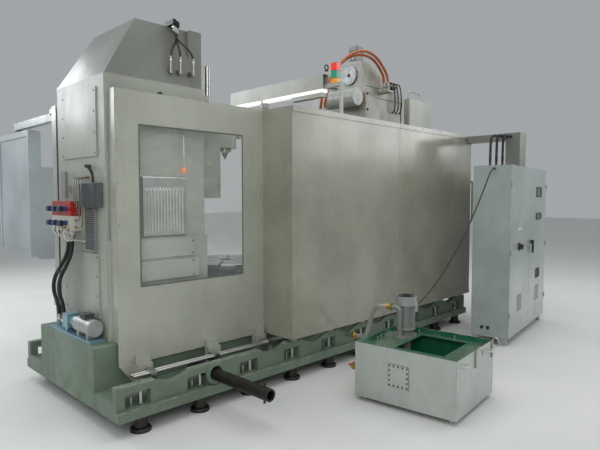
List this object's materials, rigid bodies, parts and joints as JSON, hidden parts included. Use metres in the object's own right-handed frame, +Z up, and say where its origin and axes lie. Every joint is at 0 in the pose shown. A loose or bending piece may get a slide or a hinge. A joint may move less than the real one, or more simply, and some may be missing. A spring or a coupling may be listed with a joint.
{
  "type": "cnc gear hobbing machine",
  "caption": "Gear hobbing machine with glazed guard, tailstock column, moving hob column under panels, switch cabinet, console and coolant tank.",
  "frame": {"origin": "on the floor under the axis of the rotary table, at the foot of the pad there", "axes": "+X along the bed from the table to the hob column, +Y to the operator side, +Z up"},
  "size_m": [5.5541, 4.7999, 3.324],
  "materials": {
    "cast_iron_grey_green": "satin",
    "bare_steel": "machined",
    "cast_pads": "rough",
    "light_grey_paint": "gloss",
    "enclosure_paint": "gloss",
    "hood_paint": "satin",
    "head_paint": "satin",
    "cutting_steel": "coated",
    "cover_steel": "brushed",
    "clear_pane": "clear",
    "black_hose": "satin",
    "orange_hose": "satin",
    "silver_hose": "satin",
    "cabinet_paint": "textured",
    "black_plastic": "grained",
    "tank_paint": "gloss",
    "pump_paint": "satin",
    "brass_parts": "worn",
    "red_plastic": "gloss",
    "valve_colours": "gloss",
    "lens_plastic": "gloss",
    "console_paint": "textured"
  },
  "bodies": {
    "frame": {"bed": "cast_iron_grey_green", "levelling_pads": "cast_pads", "levelling_screws": "bare_steel", "lifting_bar": "cast_pads", "shoulder_pipes": "bare_steel", "tail_column": "light_grey_paint", "column_hood": "hood_paint", "hood_fittings": "bare_steel", "hood_hose_left": "black_hose", "hood_hose_middle": "black_hose", "hood_hose_right": "black_hose", "tail_cylinder": "bare_steel", "front_guard": "light_grey_paint", "front_window": "clear_pane", "front_panels": "enclosure_paint", "rear_guard": "light_grey_paint", "table_pedestal": "light_grey_paint", "way_cover_1": "cover_steel", "cross_beam": "enclosure_paint", "stack_light": "lens_plastic", "cabinet_body": "cabinet_paint", "cable_duct": "hood_paint", "coolant_tank": "tank_paint", "access_plate": "bare_steel", "drain_valve": "brass_parts", "pump_body": "pump_paint", "pump_motor": "pump_paint", "coolant_hose": "silver_hose", "pump_cable": "black_hose", "valve_manifold": "valve_colours", "pump_unit": "pump_paint", "left_hose_1": "black_hose", "left_hose_2": "black_hose", "console_arm": "console_paint"},
    "sliding_door": {"operator_door": "light_grey_paint", "door_window": "clear_pane"},
    "left_leaf": {"cabinet_door_left": "cabinet_paint"},
    "right_leaf": {"cabinet_door_right": "cabinet_paint"},
    "cabinet_switch": {"cabinet_handle": "black_plastic"},
    "tap": {"drain_lever": "red_plastic"},
    "operator_console": {"console": "console_paint"},
    "work_table": {"rotary_table": "bare_steel"},
    "tail_carriage": {"tailstock": "light_grey_paint"},
    "centre_point": {"live_centre": "cutting_steel"},
    "hob_column": {"main_column": "light_grey_paint", "top_gearbox": "light_grey_paint", "disc_cover": "bare_steel", "feed_servo": "black_plastic", "accumulator": "hood_paint", "column_valves": "black_plastic", "hose_bracket": "light_grey_paint", "hob_hose_left": "orange_hose", "hob_hose_right": "orange_hose", "rear_box": "hood_paint"},
    "second_cover": {"way_cover_2": "cover_steel"},
    "third_cover": {"way_cover_3": "cover_steel"},
    "axial_carriage": {"axial_slide": "light_grey_paint"},
    "swivel_head": {"hob_swivel": "head_paint"},
    "shift_carriage": {"shift_slide": "head_paint"},
    "cutter": {"hob": "cutting_steel"}
  },
  "joints": [
    {"name": "column_infeed", "type": "slide", "parent": "frame", "child": "hob_column", "axis": [-1, 0, 0], "range_m": [0, 0.3]},
    {"name": "second_cover_slide", "type": "slide", "parent": "frame", "child": "second_cover", "axis": [-1, 0, 0], "range_m": [0, 0.1]},
    {"name": "third_cover_slide", "type": "slide", "parent": "frame", "child": "third_cover", "axis": [-1, 0, 0], "range_m": [0, 0.2]},
    {"name": "hob_axial_feed", "type": "slide", "parent": "hob_column", "child": "axial_carriage", "axis": [0, 0, 1], "range_m": [-0.15, 0.25]},
    {"name": "head_swivel", "type": "hinge", "parent": "axial_carriage", "child": "swivel_head", "pos_m": [1.38, 0, 1.45], "axis": [1, 0, 0], "range_deg": [-30, 30]},
    {"name": "hob_shift", "type": "slide", "parent": "swivel_head", "child": "shift_carriage", "axis": [0, 1, 0], "range_m": [-0.08, 0.08]},
    {"name": "hob_spin", "type": "hinge", "parent": "shift_carriage", "child": "cutter", "pos_m": [0.76, 0, 1.45], "axis": [0, 1, 0], "continuous": true},
    {"name": "table_spin", "type": "hinge", "parent": "frame", "child": "work_table", "pos_m": [0, 0, 0.95], "axis": [0, 0, 1], "continuous": true},
    {"name": "tailstock_feed", "type": "slide", "parent": "frame", "child": "tail_carriage", "axis": [0, 0, 1], "range_m": [-0.25, 0.05]},
    {"name": "centre_spin", "type": "hinge", "parent": "tail_carriage", "child": "centre_point", "pos_m": [0, 0, 2.1], "axis": [0, 0, 1], "continuous": true},
    {"name": "operator_door_slide", "type": "slide", "parent": "frame", "child": "sliding_door", "axis": [1, 0, 0], "range_m": [0, 1.175]},
    {"name": "left_leaf_hinge", "type": "hinge", "parent": "frame", "child": "left_leaf", "pos_m": [2.405, -1.753, 1], "axis": [0, 0, -1], "range_deg": [0, 110]},
    {"name": "right_leaf_hinge", "type": "hinge", "parent": "frame", "child": "right_leaf", "pos_m": [4.01914, -1.52615, 1], "axis": [0, 0, 1], "range_deg": [0, 110]},
    {"name": "switch_turn", "type": "hinge", "parent": "right_leaf", "child": "cabinet_switch", "pos_m": [3.28287, -1.62962, 1.07], "axis": [0.1392, -0.9903, 0], "range_deg": [0, 90]},
    {"name": "tap_turn", "type": "hinge", "parent": "frame", "child": "tap", "pos_m": [0.16957, -1.45755, 0.275], "axis": [0, 0, -1], "range_deg": [0, 90]},
    {"name": "console_swing", "type": "hinge", "parent": "frame", "child": "operator_console", "pos_m": [-1.206, 1.975, 2.3], "axis": [0, 0, 1], "range_deg": [-90, 90]}
  ],
  "couplings": [
    {"joint": "second_cover_slide", "follows": "column_infeed", "ratio": 0.33333},
    {"joint": "third_cover_slide", "follows": "column_infeed", "ratio": 0.66667}
  ]
}
